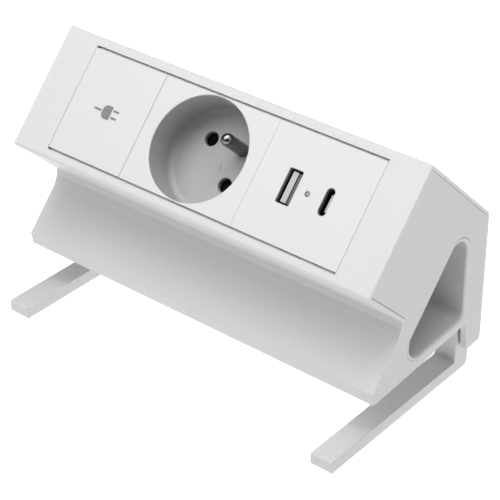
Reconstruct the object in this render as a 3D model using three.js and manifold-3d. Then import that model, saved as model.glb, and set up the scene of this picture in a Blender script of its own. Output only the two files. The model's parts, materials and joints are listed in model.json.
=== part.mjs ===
// Desk power strip: an extruded housing with a 45 degree face that carries a blank plate,
// a mains socket with an earth pin and a USB charger, and two sliding clamp brackets that
// grip a desk top between their arms and the underside of the housing.
//
// Units are millimetres, +Z is up, +X runs along the housing and the front faces -Y.
// The housing's section is drawn in (y, z) with z = 0 on the underside behind the lip.
// Pieces behind the face are drawn in the face's own frame: x along the housing, y up the
// slope and z outwards, with z = 0 on the face and the origin at the middle of the face.
// At the end the whole assembly is moved so that the origin is the centre of the underside
// of its bounding box.

import * as THREE from "three";
import { mergeVertices } from "three/addons/utils/BufferGeometryUtils.js";
import Module from "manifold-3d";

const wasm = await Module();
wasm.setup();

// ---------------------------------------------------------------- driving dimensions
const LENGTH = 158.0;            // housing, end to end
const HALF = LENGTH / 2;
const WALL = 1.3;                // housing wall
const FACE_W = 48.3;             // width of the sloping face
const FACE_MID = [11.715, 62.995];   // middle of the face in the section (y, z)
const REAR_Y = 67.2;             // rear wall, outer surface
const FLANGE_Z = -12.95;         // lower edge of the rear flange
const FLANGE_Y = [57.0, 58.4];   // front of the flange at its top and its bottom
const APEX = [28.79, 80.07];     // upper edge of the face
const CHIN = [-5.36, 45.92];     // lower edge of the face
const CORNER_REAR = [67.2, 41.66];
const VALLEY = [15.2, 25.36];    // where the underside of the face box meets the apron
const LIP = [-1.1, 4.4];         // top of the front lip
const FOOT = { front: -0.4, back: 35.6, z: -0.8 };   // the underside stands lower under the lip

const CAP_T = 2.0;               // end cap plate
const RECESS_T = 2.2;            // depth of the seat for the end cap
const CAP_GAP = 0.22;            // seam round the end cap

const TUNNEL_HYP = 5.6;          // y - z along the sloping wall of the cable tunnel
const TUNNEL_RIGHT = 54.6;
const TUNNEL_FLOOR = 3.8;
const TUNNEL_WALL = 1.3;
const TUNNEL_R = { top: 7.0, left: 7.7, right: 3.0 };

const OPEN_X = 64.0;             // face opening, half length
const OPEN_Y = 20.75;            // face opening, half width
const PLATE_Y = 19.95;           // module plates, half width
const FLANGE_HALF = 22.4;        // module flanges that run in the grooves
const BLANK_X = [-63.7, -30.45];
const SOCKET_X = [-30.15, 19.85];
const USB_X = [20.15, 63.7];

const SOCKET_C = -5.15;          // socket centre, along the housing
const WELL_R = 19.5;
const WELL_DEPTH = 14.9;
const WELL_OUT = 20.7;
const FLOOR_T = 2.0;
const CONTACT_PITCH = 19.0;
const CONTACT_HOLE_R = 2.7;
const EARTH_OFFSET = 10.0;
const EARTH_R = 2.4;
const EARTH_TIP = -1.1;
const SHUTTER_TRAVEL = 6.5;

const USB_C0 = 41.85;            // middle of the USB plate, along the housing
const USB_A = { x: 34.4, w: 5.2, h: 12.5 };
const USB_C = { x: 49.55, w: 3.3, h: 9.2 };
const LED_R = 1.05;

const ARM_X = 70.85;             // clamp bracket, centre of its width
const ARM_W = 8.9;
const LEG_Y = [57.0, 65.4];
const LEG_TOP = 32.0;
const ARM_LEN = 75.3;            // from the front of the leg to the tip
const ARM_TOP = -19.8;           // upper surface of the arm at the leg
const ARM_T = 5.0;
const ARM_RAKE = THREE.MathUtils.degToRad(3.27);   // the arm rises towards its tip
const SLIDE = { up: 8.0, down: 25.0 };
const SCREW_Z = 19.0;            // lock screw at rest
const SCREW_R = 1.9;

// ---------------------------------------------------------------- materials
const mat = (color, roughness, metalness = 0) => new THREE.MeshStandardMaterial({ color, roughness, metalness });
const M = {
  powder: mat(0xefefef, 0.5, 0.1),
  bracket: mat(0xd9dbdb, 0.45, 0.2),
  cap: mat(0xe4e4e4, 0.55),
  module: mat(0xf3f3f3, 0.4),
  dark: mat(0x26272a, 0.5),
  base: mat(0x2b2d30, 0.6),
  brass: mat(0xb9a05a, 0.35, 1),
  nickel: mat(0x8d8f92, 0.3, 1),
  steel: mat(0xa9abad, 0.35, 1),
  board: mat(0x1f5a3a, 0.5),
  rubber: mat(0x3a3b3d, 0.85),
  pipe: mat(0x9aa0a3, 0.3),
  red: mat(0x8a4a2e, 0.5),
  blue: mat(0x2d5ea8, 0.5),
  green: mat(0x6f9a3a, 0.5),
  yellow: mat(0xc9a83a, 0.5),
};

// ---------------------------------------------------------------- geometry helpers
function signedVolume(g) {
  const p = g.attributes.position, i = g.index;
  const a = new THREE.Vector3(), b = new THREE.Vector3(), c = new THREE.Vector3();
  let v = 0;
  for (let k = 0; k < i.count; k += 3) {
    a.fromBufferAttribute(p, i.getX(k)); b.fromBufferAttribute(p, i.getX(k + 1)); c.fromBufferAttribute(p, i.getX(k + 2));
    v += a.dot(b.cross(c)) / 6;
  }
  return v;
}

// merge shared vertices, drop triangles that collapsed and face the surface outwards
function closed(geometry) {
  let g = geometry.clone();
  for (const n of Object.keys(g.attributes)) if (n !== "position") g.deleteAttribute(n);
  g = mergeVertices(g, 1e-4);
  const keep = [];
  const ix = g.index.array;
  for (let k = 0; k < ix.length; k += 3) {
    const [a, b, c] = [ix[k], ix[k + 1], ix[k + 2]];
    if (a !== b && b !== c && a !== c) keep.push(a, b, c);
  }
  g.setIndex(keep);
  if (signedVolume(g) < 0) {
    for (let k = 0; k < keep.length; k += 3) [keep[k + 1], keep[k + 2]] = [keep[k + 2], keep[k + 1]];
    g.setIndex(keep);
  }
  return g;
}

function solid(geometry) {
  const g = closed(geometry);
  return new wasm.Manifold(new wasm.Mesh({
    numProp: 3,
    vertProperties: new Float32Array(g.attributes.position.array),
    triVerts: new Uint32Array(g.index.array),
  }));
}

function surface(manifold) {
  const m = manifold.getMesh();
  const g = new THREE.BufferGeometry();
  g.setAttribute("position", new THREE.BufferAttribute(new Float32Array(m.vertProperties), 3));
  g.setIndex(new THREE.BufferAttribute(new Uint32Array(m.triVerts), 1));
  g.computeVertexNormals();
  return g;
}

const union = (...s) => s.reduce((a, b) => a.add(b));
const minus = (a, ...s) => s.reduce((x, y) => x.subtract(y), a);

// polygon with rounded corners: points are [x, y, radius]
function rounded(points, step = 12) {
  const out = [];
  const n = points.length;
  for (let i = 0; i < n; i++) {
    const [x, y, r = 0] = points[i];
    if (!r) { out.push([x, y]); continue; }
    const p = new THREE.Vector2(x, y);
    const a = new THREE.Vector2(...points[(i + n - 1) % n].slice(0, 2)).sub(p);
    const b = new THREE.Vector2(...points[(i + 1) % n].slice(0, 2)).sub(p);
    const la = a.length(), lb = b.length();
    a.normalize(); b.normalize();
    const ang = Math.acos(THREE.MathUtils.clamp(a.dot(b), -1, 1));
    const t = Math.min(r / Math.tan(ang / 2), la * 0.499, lb * 0.499);
    const rr = t * Math.tan(ang / 2);
    const bis = a.clone().add(b).normalize();
    const c = p.clone().addScaledVector(bis, rr / Math.sin(ang / 2));
    const s = p.clone().addScaledVector(a, t).sub(c), e = p.clone().addScaledVector(b, t).sub(c);
    let a0 = Math.atan2(s.y, s.x), a1 = Math.atan2(e.y, e.x);
    let d = a1 - a0;
    while (d > Math.PI) d -= 2 * Math.PI;
    while (d < -Math.PI) d += 2 * Math.PI;
    const k = Math.max(2, Math.ceil(Math.abs(d) * 180 / Math.PI / step));
    for (let j = 0; j <= k; j++) out.push([c.x + rr * Math.cos(a0 + d * j / k), c.y + rr * Math.sin(a0 + d * j / k)]);
  }
  return out;
}

// move every edge of a counter-clockwise polygon inwards by d, keeping the corner radii
function inset(points, d) {
  const n = points.length, out = [];
  const line = (i) => {
    const [x0, y0] = points[i], [x1, y1] = points[(i + 1) % n];
    const l = Math.hypot(x1 - x0, y1 - y0), nx = -(y1 - y0) / l, ny = (x1 - x0) / l;
    return [x0 + nx * d, y0 + ny * d, (x1 - x0) / l, (y1 - y0) / l];
  };
  for (let i = 0; i < n; i++) {
    const [ax, ay, adx, ady] = line((i + n - 1) % n), [bx, by, bdx, bdy] = line(i);
    const det = adx * bdy - ady * bdx;
    let x, y;
    if (Math.abs(det) < 1e-6) { x = bx; y = by; }
    else { const t = ((bx - ax) * bdy - (by - ay) * bdx) / det; x = ax + adx * t; y = ay + ady * t; }
    out.push([x, y, points[i][2] ? Math.max(0.25, points[i][2] - d) : 0]);
  }
  return out;
}

function shape(points, holes = []) {
  const s = new THREE.Shape(points.map(([x, y]) => new THREE.Vector2(x, y)));
  for (const h of holes) s.holes.push(new THREE.Path(h.map(([x, y]) => new THREE.Vector2(x, y))));
  return s;
}

// a flat outline pulled along z, in the frame it is drawn in
const slab = (points, z0, z1, holes = [], bevel = 0) => {
  const b = bevel ? { bevelEnabled: true, bevelThickness: bevel, bevelSize: bevel, bevelOffset: -bevel, bevelSegments: 2 } : { bevelEnabled: false };
  const g = new THREE.ExtrudeGeometry(shape(points, holes), { depth: z1 - z0 - 2 * bevel, steps: 1, ...b });
  g.translate(0, 0, z0 + bevel);
  return g;
};

// a section drawn in (y, z) pulled along x
const toX = new THREE.Matrix4().makeBasis(new THREE.Vector3(0, 1, 0), new THREE.Vector3(0, 0, 1), new THREE.Vector3(1, 0, 0));
const beam = (points, x0, x1, holes = [], bevel = 0) => slab(points, x0, x1, holes, bevel).applyMatrix4(toX);

const rect = (x0, x1, y0, y1, r = 0) => rounded([[x0, y0, r], [x1, y0, r], [x1, y1, r], [x0, y1, r]], 30);
const circle = (cx, cy, r, n = 24) => Array.from({ length: n }, (_, i) => [cx + r * Math.cos(2 * Math.PI * i / n), cy + r * Math.sin(2 * Math.PI * i / n)]);
const block = (x0, x1, y0, y1, z0, z1) => new THREE.BoxGeometry(x1 - x0, y1 - y0, z1 - z0).translate((x0 + x1) / 2, (y0 + y1) / 2, (z0 + z1) / 2);

// a turned piece about z through (cx, cy); the profile is [radius, z]
const turned = (profile, cx = 0, cy = 0, n = 32) => {
  const g = new THREE.LatheGeometry(profile.map(([r, z]) => new THREE.Vector2(r, z)), n);
  g.rotateX(Math.PI / 2);
  g.translate(cx, cy, 0);
  return g;
};

const object = new THREE.Group();
const model = new THREE.Group();                 // section frame
const face = new THREE.Group();                  // face frame
face.position.set(0, FACE_MID[0], FACE_MID[1]);
face.rotation.x = Math.PI / 4;
model.add(face);
object.add(model);

function add(parent, name, shapeOrSolid, material) {
  const g = shapeOrSolid.isBufferGeometry ? closed(shapeOrSolid) : surface(shapeOrSolid);
  if (!g.attributes.normal) g.computeVertexNormals();
  const m = new THREE.Mesh(g, material);
  m.name = name;
  parent.add(m);
  return m;
}

// ---------------------------------------------------------------- housing
const outline = [
  [FOOT.front, FOOT.z, 0.8], [FOOT.back, FOOT.z, 0.2], [FOOT.back + 0.6, 0, 0.2], [FLANGE_Y[0], 0, 0.5], [FLANGE_Y[1], FLANGE_Z, 0.8], [REAR_Y, FLANGE_Z, 1.2],
  [...CORNER_REAR, 1.2], [...APEX, 0.8], [...CHIN, 1.2], [...VALLEY, 0.8],
  [15.0, 22.6, 2.5], [13.2, 18.9, 3.0], [LIP[0], LIP[1], 0.7],
];
const outer = rounded(outline);
const innerOutline = inset(outline, WALL);
const capOutline = inset(outline, WALL + CAP_GAP);

// cable tunnel: a triangle whose corners are rounded about fixed centres, so that the
// lining keeps one thickness all round
const tri = (off) => {
  const hyp = TUNNEL_HYP - off * Math.SQRT2, right = TUNNEL_RIGHT + off, floor = TUNNEL_FLOOR - off;
  return [[floor + hyp, floor, TUNNEL_R.left + off], [right, floor, TUNNEL_R.right + off], [right, right - hyp, TUNNEL_R.top + off]];
};
const tunnelIn = rounded(tri(0), 12);
const tunnelOut = (extra = 0) => rounded(tri(TUNNEL_WALL + extra), 12);
// half plane on the tunnel's side of its sloping wall
const hypSide = (off = 0) => [[TUNNEL_HYP + off - 60, -60], [TUNNEL_HYP + off + 120, 120], [200, 120], [200, -60]];

const L2 = HALF + 5;
const deviceChamber = rounded([
  [23.08, 19.32, 0.6], [53.0, 49.24, 0.6], [53.0, 54.02, 0.6], [28.79, 78.23, 0.4], [-3.52, 45.92, 0.4],
], 30);
const rearChamber = rounded([
  [59.85, -11.65, 0.4], [65.9, -11.65, 0.4], [65.9, 41.12, 0.6], [54.7, 52.32, 0.6], [54.7, 46.5, 0], [56.15, 43.5, 0], [56.15, 1.3, 0], [58.35, 1.3, 0],
], 30);
const lipChamber = rounded([[0.9, 0.5, 0.3], [18.2, 0.5, 0.5], [18.2, 11.5, 1], [14.4, 16.4, 0.8], [11.9, 15.4, 0.8], [0.9, 4.6, 0.3]], 30);

let housing = solid(beam(outer, -HALF, HALF));
housing = minus(housing,
  solid(beam(deviceChamber, -L2, L2)),
  solid(beam(rearChamber, -L2, L2)),
  solid(beam(lipChamber, -L2, L2)),
);
// grooves that the module flanges run in: a bead along each long wall behind the face
const bead = (y0, y1) => {
  const g = block(-HALF + RECESS_T, HALF - RECESS_T, y0, y1, -5.1, -4.0);
  g.rotateX(Math.PI / 4);
  g.translate(0, FACE_MID[0], FACE_MID[1]);
  return solid(g);
};
housing = union(housing, bead(21.2, 23.2), bead(-23.2, -21.2));
// seats for the end caps: a rim stays round the outside and round the tunnel's lining
const ring = solid(beam(tunnelOut(), -L2, L2)).intersect(solid(beam(hypSide(0.6), -L2, L2)));
for (const s of [-1, 1]) {
  const [a, b] = s > 0 ? [HALF - RECESS_T, HALF + 2] : [-HALF - 2, -HALF + RECESS_T];
  const seat = minus(solid(beam(rounded(innerOutline), a, b)), ring);
  housing = minus(housing, seat);
}
housing = minus(housing, solid(beam(tunnelIn, -L2, L2)));
// face opening, legs' slots, lock screws' slots and the hole for the cable gland
const inFace = (g) => solid(g.rotateX(Math.PI / 4).translate(0, FACE_MID[0], FACE_MID[1]));
housing = minus(housing, inFace(slab(rect(-OPEN_X, OPEN_X, -OPEN_Y, OPEN_Y, 0.5), -3, 3)));
const GLAND = { x: -52, y: -8 };
housing = minus(housing, inFace(slab(circle(GLAND.x, GLAND.y, 6.3, 24), -42, -36)));
const onY = (g) => g.applyMatrix4(new THREE.Matrix4().makeBasis(new THREE.Vector3(-1, 0, 0), new THREE.Vector3(0, 0, 1), new THREE.Vector3(0, 1, 0)));
for (const s of [-1, 1]) {
  housing = minus(housing,
    solid(block(s * ARM_X - ARM_W / 2 - 1.0, s * ARM_X + ARM_W / 2 + 1.0, 56.3, 65.9, FLANGE_Z - 1, 3.6)),
    solid(onY(slab(rounded([
      [-s * ARM_X - 2.3, SCREW_Z - SLIDE.down - 2.4, 2.25], [-s * ARM_X + 2.3, SCREW_Z - SLIDE.down - 2.4, 2.25],
      [-s * ARM_X + 2.3, SCREW_Z + SLIDE.up + 2.4, 2.25], [-s * ARM_X - 2.3, SCREW_Z + SLIDE.up + 2.4, 2.25]], 20), 65.0, 69.0))),
  );
}
add(model, "housing_profile", housing, M.powder);

// ---------------------------------------------------------------- end caps
for (const [name, s] of [["end_cap_right", 1], ["end_cap_left", -1]]) {
  const [a, b] = s > 0 ? [HALF - CAP_T, HALF] : [-HALF, -HALF + CAP_T];
  const hole = solid(beam(tunnelOut(CAP_GAP), -L2, L2)).intersect(solid(beam(hypSide(0.3), -L2, L2)));
  let cap = minus(solid(beam(rounded(capOutline), a, b)), hole);
  // collar that grips the device chamber, and a peg in the lip
  const c0 = s > 0 ? HALF - 7 : -HALF + CAP_T - 0.5, c1 = s > 0 ? HALF - CAP_T + 0.5 : -HALF + 7;
  const collar = [[23.08, 20.2], [52.4, 49.52], [52.4, 53.4], [28.79, 77.0], [-2.4, 45.8]];
  cap = union(cap, minus(solid(beam(rounded(inset(collar.map((p) => [...p, 0]), 3.0), 30), c0, c1)),
    solid(beam(rounded(inset(collar.map((p) => [...p, 0]), 4.5), 30), c0 - 1, c1 + 1).translate(s > 0 ? -0.0 : 0, 0, 0)).intersect(
      solid(s > 0 ? block(c0 - 2, HALF - CAP_T, -50, 90, -50, 120) : block(-HALF + CAP_T, c1 + 2, -50, 90, -50, 120)))));
  cap = union(cap, solid(beam([[3, 2.2], [16.5, 2.2], [16.5, 10.5], [12.5, 13.5], [3, 5.2]], c0, c1)));
  add(model, name, cap, M.cap);
}

// ---------------------------------------------------------------- desk pads under the housing
for (const [name, x0, x1] of [["desk_pad_left", -60, -12], ["desk_pad_right", 12, 60]]) {
  add(model, name, slab(rect(x0, x1, 37.4, 55.4, 2.0), -1.1, -0.25), M.rubber);
}

// ---------------------------------------------------------------- clamp brackets
const rise = (y) => Math.tan(ARM_RAKE) * (LEG_Y[0] - y);          // how far the arm has risen at y
const tip = LEG_Y[0] - ARM_LEN;
const legSection = rounded([
  [LEG_Y[1], LEG_TOP, 1.0], [LEG_Y[0], LEG_TOP, 1.0], [LEG_Y[0], ARM_TOP, 0.8],
  [tip, ARM_TOP + rise(tip), 0.9], [tip, ARM_TOP - ARM_T + rise(tip), 0.9],
  [LEG_Y[1], ARM_TOP - ARM_T + rise(LEG_Y[1]), 2.2],
], 20);
for (const [side, s] of [["left", -1], ["right", 1]]) {
  const x = s * ARM_X;
  const bar = solid(beam(legSection, x - ARM_W / 2, x + ARM_W / 2, [], 0.5));
  const bore = solid(onY(slab(circle(-x, SCREW_Z, 2.15, 16), 50, 70)));
  add(model, `clamp_bracket_${side}`, minus(bar, bore), M.bracket);

  const about = (profile, n = 20) => turned(profile, 0, 0, n).rotateX(-Math.PI / 2).translate(x, 0, SCREW_Z);
  // turned about y: the profile's z runs along +y
  add(model, `lock_washer_${side}`, minus(
    solid(about([[0, 67.45], [4.4, 67.45], [4.4, 68.2], [0, 68.2]], 24)),
    solid(about([[0, 66], [2.25, 66], [2.25, 70], [0, 70]], 16))), M.steel);
  const screw = solid(about([[0, 58.0], [1.4, 58.0], [SCREW_R, 58.5], [SCREW_R, 68.45], [4.0, 68.45], [4.0, 69.6], [3.5, 70.4], [2.6, 70.6], [0, 70.6]], 24));
  const key = solid(onY(slab(circle(-x, SCREW_Z, 1.45, 6), 69.0, 72)));
  add(model, `lock_screw_${side}`, minus(screw, key), M.steel);
}

// ---------------------------------------------------------------- face modules
const insert = ([x0, x1]) => union(
  solid(slab(rect(x0, x1, -PLATE_Y, PLATE_Y, 0.4), -1.75, -0.05)),
  solid(slab(rect(x0, x1, -FLANGE_HALF, FLANGE_HALF), -3.6, -1.65)));

add(face, "blank_plate", insert(BLANK_X), M.module);

// socket: plate, flange and well in one moulding
const f = 2.0;                                    // fillet between the wall and the floor
const wellCut = [[0, 1], [WELL_R + 0.35, 1], [WELL_R + 0.35, -0.05], [WELL_R, -0.45], [WELL_R, -(WELL_DEPTH - f)]];
for (let i = 1; i <= 5; i++) {
  const a = (Math.PI / 2) * i / 5;
  wellCut.push([WELL_R - f + f * Math.cos(a), -(WELL_DEPTH - f) - f * Math.sin(a)]);
}
wellCut.push([0, -WELL_DEPTH]);
const s45 = Math.SQRT1_2;
const holeAt = [[SOCKET_C - s45 * CONTACT_PITCH / 2, s45 * CONTACT_PITCH / 2], [SOCKET_C + s45 * CONTACT_PITCH / 2, -s45 * CONTACT_PITCH / 2]];
const pinAt = [SOCKET_C + s45 * EARTH_OFFSET, s45 * EARTH_OFFSET];
const floorZ = -(WELL_DEPTH + FLOOR_T);
let well = union(insert(SOCKET_X), solid(turned([[0, -1.7], [WELL_OUT, -1.7], [WELL_OUT, floorZ], [0, floorZ]], SOCKET_C, 0, 64)));
well = minus(well, solid(turned(wellCut, SOCKET_C, 0, 64)),
  ...holeAt.map(([x, y]) => solid(slab(circle(x, y, CONTACT_HOLE_R, 24), floorZ - 1, 0))),
  solid(slab(circle(...pinAt, EARTH_R + 0.25, 24), floorZ - 1, 0)));
add(face, "socket_insert", well, M.module);

// frame turned to the contact line: p runs through both contacts, r towards the earth pin
const diag = (points) => points.map(([p, r]) => [SOCKET_C + s45 * (p + r), s45 * (r - p)]);
const BASE_TOP = floorZ - 0.3, BASE_BACK = -31.0;
const LIVE_X = [-20.4, -16.8], NEUTRAL_X = [6.3, 9.9];          // wire holes at the two contacts' tails
let base = solid(slab(rect(SOCKET_C - 18, SOCKET_C + 18, -17, 17, 3), BASE_BACK, BASE_TOP));
base = minus(base,
  solid(slab(diag([[-13.5, -10.6], [13.5, -10.6], [13.5, 4.1], [-13.5, 4.1]]), BASE_TOP - 2.2, BASE_TOP + 1)),
  solid(slab(diag([[-2.3, -15.2], [2.3, -15.2], [2.3, -10], [-2.3, -10]]), BASE_TOP - 4.0, BASE_TOP + 1)),
  solid(slab(diag([[-2.3, -15.2], [2.3, -15.2], [2.3, -3.9], [-2.3, -3.9]]), BASE_TOP - 4.0, BASE_TOP - 1)),
  ...holeAt.map(([x, y]) => solid(slab(rect(x - 4.2, x + 4.2, y - 4.2, y + 4.2), -30.0, BASE_TOP - 1))),
  ...holeAt.map(([x, y], i) => solid(slab(i ? rect(x, SOCKET_C + 19, y - 3.2, y + 3.2) : rect(SOCKET_C - 19, x, y - 3.2, y + 3.2), -30.0, -24.0))),
  solid(slab(circle(...pinAt, 4.4, 24), -23.4, BASE_TOP + 1)),
  solid(slab(rect(pinAt[0] - 3.3, pinAt[0] + 3.3, pinAt[1], 18), -23.4, -20.2)),
  ...[...LIVE_X.map((x) => [x, 6.7]), ...NEUTRAL_X.map((x) => [x, -6.7])].map(([x, y]) => solid(slab(circle(x, y, 1.4, 10), BASE_BACK - 1, -29))),
  solid(slab(circle(pinAt[0], 13.6, 1.4, 12), BASE_BACK - 1, -22)),
  ...[[SOCKET_C - 13.5, -13], [SOCKET_C + 13.5, 13]].map(([x, y]) => solid(slab(circle(x, y, 1.45, 12), BASE_BACK - 1, -23.0))));
add(face, "socket_base", base, M.base);

// rear cover with three wire holes and two screw holes
const wireHoles = [[LIVE_X[0], 6.7], [LIVE_X[1], 6.7], [NEUTRAL_X[0], -6.7], [NEUTRAL_X[1], -6.7], [pinAt[0], 13.6]];
const coverScrews = [[SOCKET_C - 13.5, -13], [SOCKET_C + 13.5, 13]];
add(face, "socket_rear_cover", slab(rect(SOCKET_C - 18, SOCKET_C + 18, -17, 17, 3), -33.0, -31.3,
  [...wireHoles.map(([x, y]) => circle(x, y, 1.4, 10)), ...coverScrews.map(([x, y]) => circle(x, y, 1.6, 12))]), M.base);
coverScrews.forEach(([x, y], i) => {
  const body = solid(turned([[0, -24], [0.6, -24], [1.15, -25.2], [1.15, -33.3], [2.6, -33.3], [2.6, -34.2], [1.8, -34.9], [0, -34.9]], x, y, 12));
  add(face, `cover_screw_${i ? "upper" : "lower"}`, minus(body, solid(block(x - 0.35, x + 0.35, y - 3, y + 3, -36, -34.3))), M.steel);
});

// contacts: a spring sleeve that grips the plug's pin, with a tail out to its terminal
holeAt.forEach(([x, y], i) => {
  const dir = i ? 1 : -1;
  const sleeve = [[-3.6, -3.6], [3.6, -3.6], [3.6, 3.6], [0.9, 3.6], [0.9, 2.8], [2.8, 2.8], [2.8, -2.8], [-2.8, -2.8], [-2.8, 2.8], [-0.9, 2.8], [-0.9, 3.6], [-3.6, 3.6]];
  const s = solid(slab(sleeve.map(([a, b]) => [x + a, y + b]), -29.5, -20.4));
  const end = SOCKET_C + dir * 17.4;
  const tail = solid(block(Math.min(x + dir * 3.0, end), Math.max(x + dir * 3.0, end), y - 2.6, y + 2.6, -25.4, -24.6));
  add(face, i ? "neutral_contact" : "live_contact", union(s, tail), M.brass);
});

// earth pin: round tip, shoulder behind the well's floor, riveted to its strap
const pinProfile = [[0, EARTH_TIP]];
for (let i = 1; i <= 5; i++) { const a = (Math.PI / 2) * i / 5; pinProfile.push([EARTH_R * Math.sin(a), EARTH_TIP - EARTH_R * (1 - Math.cos(a))]); }
pinProfile.push([EARTH_R, -17.6], [4.0, -17.6], [4.0, -19.8], [1.6, -19.8], [1.6, -21.9], [0, -21.9]);
add(face, "earth_pin", turned(pinProfile, ...pinAt, 20), M.nickel);
let strap = solid(slab(rect(pinAt[0] - 2.9, pinAt[0] + 2.9, pinAt[1] - 2.9, 16.6, 0.8), -21.0, -20.4));
strap = minus(strap, solid(slab(circle(...pinAt, 1.85, 16), -25, -18)));
add(face, "earth_strap", strap, M.brass);

// child-safety shutter and its return spring
add(face, "socket_shutter", slab(diag(rounded([[-13.1, -3.6, 1.5], [13.1, -3.6, 1.5], [13.1, 3.6, 1.5], [-13.1, 3.6, 1.5]], 30)), BASE_TOP - 1.9, BASE_TOP - 0.35), M.dark);
class Helix extends THREE.Curve {
  constructor(r, pitch, turns) { super(); Object.assign(this, { r, pitch, turns }); }
  getPoint(t, target = new THREE.Vector3()) {
    const a = t * this.turns * 2 * Math.PI;
    return target.set(this.r * Math.cos(a), this.r * Math.sin(a), t * this.turns * this.pitch);
  }
}
const springGeo = new THREE.ExtrudeGeometry(shape(circle(0, 0, 0.2, 5)), { steps: 56, bevelEnabled: false, extrudePath: new Helix(1.2, 1.85, 5.6) });
springGeo.rotateX(Math.PI / 2);                                   // now runs along -y
springGeo.rotateZ(-Math.PI / 4);
springGeo.translate(...(() => { const [x, y] = diag([[0, -4.1]])[0]; return [x, y, BASE_TOP - 2.1]; })());
add(face, "shutter_spring", springGeo, M.steel);

// ---------------------------------------------------------------- USB charger
let usb = insert(USB_X);
usb = minus(usb,
  solid(slab(rect(USB_A.x - USB_A.w / 2, USB_A.x + USB_A.w / 2, -USB_A.h / 2, USB_A.h / 2, 0.4), -5, 2)),
  solid(slab(rect(USB_C.x - USB_C.w / 2, USB_C.x + USB_C.w / 2, -USB_C.h / 2, USB_C.h / 2, 1.6), -5, 2)),
  solid(slab(circle(USB_C0, 0, LED_R + 0.15, 16), -5, 2)));
// a skirt that the charger's case plugs on to
usb = union(usb, minus(solid(slab(rect(23.6, 60.1, -15.6, 15.6, 1), -9.0, -3.5)), solid(slab(rect(24.8, 58.9, -14.4, 14.4, 0.5), -10, -3.0))));
add(face, "usb_insert", usb, M.module);

const tube = (cx, w, h, r, t, z0, z1) => minus(
  solid(slab(rect(cx - w / 2, cx + w / 2, -h / 2, h / 2, r), z0, z1)),
  solid(slab(rect(cx - w / 2 + t, cx + w / 2 - t, -h / 2 + t, h / 2 - t, Math.max(0.1, r - t)), z0 + 1.0, z1 + 1)));
add(face, "usb_a_shell", tube(USB_A.x, USB_A.w - 0.4, USB_A.h - 0.4, 0.3, 0.3, -14.7, -0.5), M.steel);
add(face, "usb_a_tongue", block(USB_A.x - 1.5, USB_A.x + 0.3, -5.5, 5.5, -13.2, -2.2), M.module);
add(face, "usb_c_shell", tube(USB_C.x, USB_C.w - 0.3, USB_C.h - 0.3, 1.4, 0.25, -14.7, -0.5), M.steel);
add(face, "usb_c_tongue", block(USB_C.x - 0.35, USB_C.x + 0.35, -3.2, 3.2, -13.2, -1.6), M.dark);
add(face, "led_light_pipe", turned([[0, -14.4], [1.6, -14.4], [1.6, -12.6], [LED_R, -12.6], [LED_R, -0.25], [0.8, -0.1], [0, -0.1]], USB_C0, 0, 16), M.pipe);
add(face, "usb_circuit_board", slab(rect(25.2, 58.5, -14, 14, 1), -16.6, -15.0), M.board);
add(face, "transformer", slab(rect(27, 41, -9.5, 9.5, 0.8), -28.5, -16.9, [], 0.6), M.dark);
add(face, "filter_capacitor", turned([[0, -30.5], [4.6, -30.5], [5.0, -30.1], [5.0, -17.3], [4.6, -16.9], [0, -16.9]], 50.5, 0, 20), M.base);
let shell = minus(solid(slab(rect(22.2, 61.5, -17, 17, 1.5), -34, -5.4)), solid(slab(rect(23.3, 60.4, -15.9, 15.9, 0.8), -32.6, -5)));
shell = minus(shell, ...[[26, -12.5], [57.5, 12.5]].map(([x, y]) => solid(slab(circle(x, y, 1.6, 12), -36, -30))),
  ...[[25.6, 3.5], [25.6, -2.0]].map(([x, y]) => solid(slab(circle(x, y, 1.3, 12), -36, -30))));
add(face, "usb_case", shell, M.base);
[[26, -12.5], [57.5, 12.5]].forEach(([x, y], i) => {
  const body = solid(turned([[0, -17.2], [0.6, -17.2], [1.15, -18.4], [1.15, -34.3], [2.6, -34.3], [2.6, -35.2], [1.8, -35.9], [0, -35.9]], x, y, 12));
  add(face, `case_screw_${i ? "upper" : "lower"}`, minus(body, solid(block(x - 0.35, x + 0.35, y - 3, y + 3, -37, -35.3))), M.steel);
});

// ---------------------------------------------------------------- terminal block and wiring
const TB = { x0: -46, x1: -35, z0: -30, z1: -20 };
let tb = solid(slab(rect(TB.x0, TB.x1, -13.5, 13.5, 0.8), TB.z0, TB.z1));
const ways = [-9, 0, 9];
tb = minus(tb, ...ways.map((y) => solid(turned([[0, TB.x0 - 1], [2.2, TB.x0 - 1], [2.2, TB.x1 + 1], [0, TB.x1 + 1]], 0, 0, 14).rotateY(Math.PI / 2).translate(0, y, -26.5))),
  ...ways.map((y) => solid(slab(circle(-40.5, y, 2.3, 14), -25, -19))));
add(face, "terminal_block", tb, M.module);
ways.forEach((y, i) => {
  const body = solid(turned([[0, -24.3], [1.0, -24.3], [1.3, -24.0], [1.3, -21.9], [2.0, -21.9], [2.0, -20.3], [0, -20.3]], -40.5, y, 12));
  add(face, `terminal_screw_${["neutral", "live", "earth"][i]}`, minus(body, solid(block(-43.5, -37.5, y - 0.3, y + 0.3, -21.0, -19))), M.steel);
});

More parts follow.
